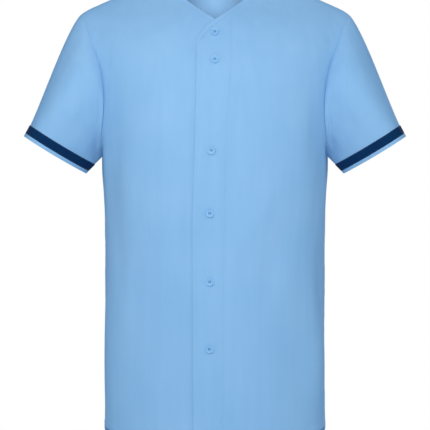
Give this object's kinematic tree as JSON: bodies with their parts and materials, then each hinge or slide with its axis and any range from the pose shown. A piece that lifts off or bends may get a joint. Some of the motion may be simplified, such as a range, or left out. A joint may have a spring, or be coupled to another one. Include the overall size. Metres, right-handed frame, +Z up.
{
  "type": "baseball jersey",
  "caption": "Short-sleeved button-front baseball jersey in light blue with a narrow navy band round each sleeve, filled out to its worn form",
  "frame": {"origin": "midway between the two points where the neck meets the shoulders, where a wearer's shoulders carry the jersey", "axes": "+Z up, +X to the wearer's left, the front faces -Y"},
  "size_m": [0.631, 0.2697, 0.8138],
  "materials": {
    "jersey_cloth": "smooth light blue polyester knit",
    "contrast_cloth": "navy polyester knit strip",
    "button_plastic": "dyed to match, satin"
  },
  "bodies": {
    "root": {"back": "jersey_cloth", "front_left": "jersey_cloth", "front_right": "jersey_cloth", "placket_band": "jersey_cloth", "neck_edge_left": "jersey_cloth", "neck_edge_right": "jersey_cloth", "neck_edge_back": "jersey_cloth", "sleeve_left": "jersey_cloth", "sleeve_right": "jersey_cloth", "sleeve_band_left": "contrast_cloth", "sleeve_band_right": "contrast_cloth", "sleeve_hem_left": "jersey_cloth", "sleeve_hem_right": "jersey_cloth", "button_1": "button_plastic", "button_2": "button_plastic", "button_3": "button_plastic", "button_4": "button_plastic", "button_5": "button_plastic", "button_6": "button_plastic"}
  },
  "joints": []
}
